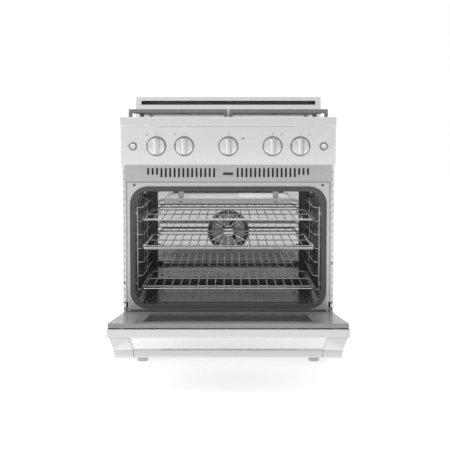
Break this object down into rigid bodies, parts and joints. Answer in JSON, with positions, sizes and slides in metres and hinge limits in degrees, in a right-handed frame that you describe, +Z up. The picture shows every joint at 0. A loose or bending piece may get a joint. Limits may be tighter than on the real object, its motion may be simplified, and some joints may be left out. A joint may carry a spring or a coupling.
{
  "type": "freestanding gas range",
  "caption": "Freestanding gas range with a drop-down oven door, sliding wire racks, front knobs, cast grates over the burners and a low vented backguard.",
  "frame": {"origin": "floor point under the middle of the whole object with its door open", "axes": "+Y from the open door to the back, +X to the cook's right, +Z up"},
  "size_m": [0.757, 1.0794, 0.973],
  "materials": {
    "brushed_steel": "fine horizontal grain, satin",
    "plain_steel": "plain rolled steel",
    "burner_alloy": "cast, matt",
    "cast_iron": "matt black enamel over cast iron",
    "polished_steel": "bright plated",
    "dark_enamel": "glossy porcelain enamel",
    "grey_enamel": "satin porcelain enamel",
    "door_glass": "dark tinted, polished",
    "lamp_lens": "clear polished lens",
    "gasket_rubber": "matt woven gasket"
  },
  "bodies": {
    "cabinet": {"side_panel_left": "brushed_steel", "side_panel_right": "brushed_steel", "kick_panel": "brushed_steel", "oven_front_frame": "brushed_steel", "vent_trim": "brushed_steel", "control_panel": "brushed_steel", "front_ledge": "brushed_steel", "backguard": "brushed_steel", "leg_front_left": "brushed_steel", "leg_front_right": "brushed_steel", "leg_back_left": "brushed_steel", "leg_back_right": "brushed_steel", "back_panel": "plain_steel", "base_pan": "plain_steel", "fan_motor": "plain_steel", "broil_burner": "plain_steel", "bake_burner": "plain_steel", "gas_manifold": "plain_steel", "hinge_bracket_left": "plain_steel", "hinge_bracket_right": "plain_steel", "burner_head_front_left": "burner_alloy", "burner_head_front_right": "burner_alloy", "burner_head_back_left": "burner_alloy", "burner_head_back_right": "burner_alloy", "burner_cap_front_left": "cast_iron", "burner_cap_front_right": "cast_iron", "burner_cap_back_left": "cast_iron", "burner_cap_back_right": "cast_iron", "fan_baffle": "polished_steel", "rack_ladder_left": "polished_steel", "rack_ladder_right": "polished_steel", "oven_cavity": "dark_enamel", "cooktop_pan": "dark_enamel", "indicator_lens": "lamp_lens", "cavity_gasket": "gasket_rubber"},
    "door": {"door_skin": "brushed_steel", "door_outer_glass": "door_glass", "door_liner": "grey_enamel", "door_inner_glass": "door_glass", "handle_bracket_left": "brushed_steel", "handle_bracket_right": "brushed_steel", "handle_bar": "brushed_steel"},
    "rack_lower": {"rack_lower": "polished_steel"},
    "rack_middle": {"rack_middle": "polished_steel"},
    "rack_upper": {"rack_upper": "polished_steel"},
    "fan": {"fan_blade": "plain_steel"},
    "light_button": {"light_button": "brushed_steel"},
    "fan_button": {"fan_button": "brushed_steel"},
    "grate_left": {"grate_left": "cast_iron"},
    "grate_right": {"grate_right": "cast_iron"},
    "stem_left_front": {"valve_stem_left_front": "plain_steel"},
    "knob_left_front": {"knob_left_front": "brushed_steel"},
    "stem_left_rear": {"valve_stem_left_rear": "plain_steel"},
    "knob_left_rear": {"knob_left_rear": "brushed_steel"},
    "stem_oven": {"valve_stem_oven": "plain_steel"},
    "knob_oven": {"knob_oven": "brushed_steel"},
    "stem_right_rear": {"valve_stem_right_rear": "plain_steel"},
    "knob_right_rear": {"knob_right_rear": "brushed_steel"},
    "stem_right_front": {"valve_stem_right_front": "plain_steel"},
    "knob_right_front": {"knob_right_front": "brushed_steel"}
  },
  "joints": [
    {"name": "door_hinge", "type": "hinge", "parent": "cabinet", "child": "door", "pos_m": [0, -0.0613, 0.1823], "axis": [1, 0, 0], "range_deg": [-83.3, 0]},
    {"name": "rack_lower_slide", "type": "slide", "parent": "cabinet", "child": "rack_lower", "axis": [0, -1, 0], "range_m": [0, 0.25]},
    {"name": "rack_middle_slide", "type": "slide", "parent": "cabinet", "child": "rack_middle", "axis": [0, -1, 0], "range_m": [0, 0.25]},
    {"name": "rack_upper_slide", "type": "slide", "parent": "cabinet", "child": "rack_upper", "axis": [0, -1, 0], "range_m": [0, 0.25]},
    {"name": "stem_left_front_push", "type": "slide", "parent": "cabinet", "child": "stem_left_front", "axis": [0, 1, 0], "range_m": [0, 0.003], "stiffness_N_per_m": 900, "springref_m": -0.001},
    {"name": "knob_left_front_turn", "type": "hinge", "parent": "stem_left_front", "child": "knob_left_front", "pos_m": [-0.254, -0.1123, 0.783], "axis": [0, -1, 0], "range_deg": [0, 270]},
    {"name": "stem_left_rear_push", "type": "slide", "parent": "cabinet", "child": "stem_left_rear", "axis": [0, 1, 0], "range_m": [0, 0.003], "stiffness_N_per_m": 900, "springref_m": -0.001},
    {"name": "knob_left_rear_turn", "type": "hinge", "parent": "stem_left_rear", "child": "knob_left_rear", "pos_m": [-0.156, -0.1123, 0.783], "axis": [0, -1, 0], "range_deg": [0, 270]},
    {"name": "stem_oven_push", "type": "slide", "parent": "cabinet", "child": "stem_oven", "axis": [0, 1, 0], "range_m": [0, 0.003], "stiffness_N_per_m": 900, "springref_m": -0.001},
    {"name": "knob_oven_turn", "type": "hinge", "parent": "stem_oven", "child": "knob_oven", "pos_m": [0, -0.1123, 0.783], "axis": [0, -1, 0], "range_deg": [0, 300]},
    {"name": "stem_right_rear_push", "type": "slide", "parent": "cabinet", "child": "stem_right_rear", "axis": [0, 1, 0], "range_m": [0, 0.003], "stiffness_N_per_m": 900, "springref_m": -0.001},
    {"name": "knob_right_rear_turn", "type": "hinge", "parent": "stem_right_rear", "child": "knob_right_rear", "pos_m": [0.156, -0.1123, 0.783], "axis": [0, -1, 0], "range_deg": [0, 270]},
    {"name": "stem_right_front_push", "type": "slide", "parent": "cabinet", "child": "stem_right_front", "axis": [0, 1, 0], "range_m": [0, 0.003], "stiffness_N_per_m": 900, "springref_m": -0.001},
    {"name": "knob_right_front_turn", "type": "hinge", "parent": "stem_right_front", "child": "knob_right_front", "pos_m": [0.254, -0.1123, 0.783], "axis": [0, -1, 0], "range_deg": [0, 270]},
    {"name": "light_button_push", "type": "slide", "parent": "cabinet", "child": "light_button", "axis": [0, 1, 0], "range_m": [0, 0.003], "stiffness_N_per_m": 500, "springref_m": -0.001},
    {"name": "fan_button_push", "type": "slide", "parent": "cabinet", "child": "fan_button", "axis": [0, 1, 0], "range_m": [0, 0.003], "stiffness_N_per_m": 500, "springref_m": -0.001},
    {"name": "fan_spin", "type": "hinge", "parent": "cabinet", "child": "fan", "pos_m": [0, 0.4827, 0.423], "axis": [0, 1, 0], "continuous": true},
    {"name": "grate_left_lift", "type": "slide", "parent": "cabinet", "child": "grate_left", "axis": [0, 0, 1], "range_m": [0, 0.12]},
    {"name": "grate_right_lift", "type": "slide", "parent": "cabinet", "child": "grate_right", "axis": [0, 0, 1], "range_m": [0, 0.12]}
  ]
}
